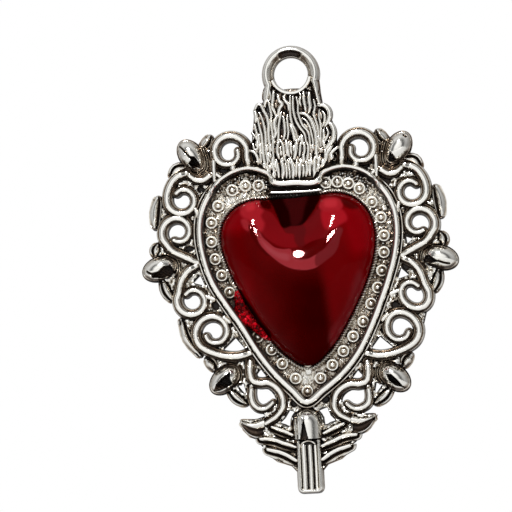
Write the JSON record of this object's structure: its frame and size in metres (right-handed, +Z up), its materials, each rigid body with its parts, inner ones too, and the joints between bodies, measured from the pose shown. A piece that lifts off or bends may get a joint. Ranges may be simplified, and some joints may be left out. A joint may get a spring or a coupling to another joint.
{
  "type": "sacred heart charm",
  "caption": "Pendant charm: domed red heart stone in a pierced silver scrollwork frame, with a flame and hanging eye above and a tassel between small wings below.",
  "frame": {"origin": "centre of the suspension eye, halfway between the plate's back and the top of the eye wire", "axes": "+Z up as the charm hangs, +Y towards its flat back, so the stone faces -Y"},
  "size_m": [0.0382, 0.0056, 0.054],
  "materials": {
    "polished_silver": "silver plate, polished on the high places",
    "antiqued_silver": "silver plate with dark brown patina in the recesses",
    "red_stone": "deep red, translucent, high gloss",
    "red_enamel": "red enamel with fine glitter",
    "stone_cement": "dark cement, hidden under the stone"
  },
  "bodies": {
    "root": {"back_plate": "antiqued_silver", "heart_rim": "polished_silver", "beaded_border": "antiqued_silver", "milled_bezel": "antiqued_silver", "cleft_bar": "polished_silver", "stone_cement": "stone_cement", "heart_stone": "red_stone", "red_enamel_pool": "red_enamel", "suspension_ring": "polished_silver", "ring_drop": "polished_silver", "flame_crest": "antiqued_silver", "tassel_cap": "polished_silver", "tassel_skirt": "antiqued_silver", "upper_curl_left": "polished_silver", "curl_leg_left": "polished_silver", "bud_cradle_left": "polished_silver", "shoulder_scroll_left": "polished_silver", "side_scroll_left": "polished_silver", "waist_scroll_left": "polished_silver", "hip_scroll_left": "polished_silver", "foot_scroll_left": "polished_silver", "foot_curl_left": "polished_silver", "upper_bud_left": "polished_silver", "upper_bud_upper_leaf_left": "polished_silver", "upper_bud_lower_leaf_left": "polished_silver", "middle_bud_left": "polished_silver", "middle_bud_upper_leaf_left": "polished_silver", "middle_bud_lower_leaf_left": "polished_silver", "lower_bud_left": "polished_silver", "lower_bud_upper_leaf_left": "polished_silver", "lower_bud_lower_leaf_left": "polished_silver", "side_leaf_left": "polished_silver", "upper_feather_left": "polished_silver", "middle_feather_left": "polished_silver", "lower_feather_left": "polished_silver", "blade_leaf_left": "polished_silver", "upper_curl_right": "polished_silver", "curl_leg_right": "polished_silver", "bud_cradle_right": "polished_silver", "shoulder_scroll_right": "polished_silver", "side_scroll_right": "polished_silver", "waist_scroll_right": "polished_silver", "hip_scroll_right": "polished_silver", "foot_scroll_right": "polished_silver", "foot_curl_right": "polished_silver", "upper_bud_right": "polished_silver", "upper_bud_upper_leaf_right": "polished_silver", "upper_bud_lower_leaf_right": "polished_silver", "middle_bud_right": "polished_silver", "middle_bud_upper_leaf_right": "polished_silver", "middle_bud_lower_leaf_right": "polished_silver", "lower_bud_right": "polished_silver", "lower_bud_upper_leaf_right": "polished_silver", "lower_bud_lower_leaf_right": "polished_silver", "side_leaf_right": "polished_silver", "upper_feather_right": "polished_silver", "middle_feather_right": "polished_silver", "lower_feather_right": "polished_silver"}
  },
  "joints": []
}
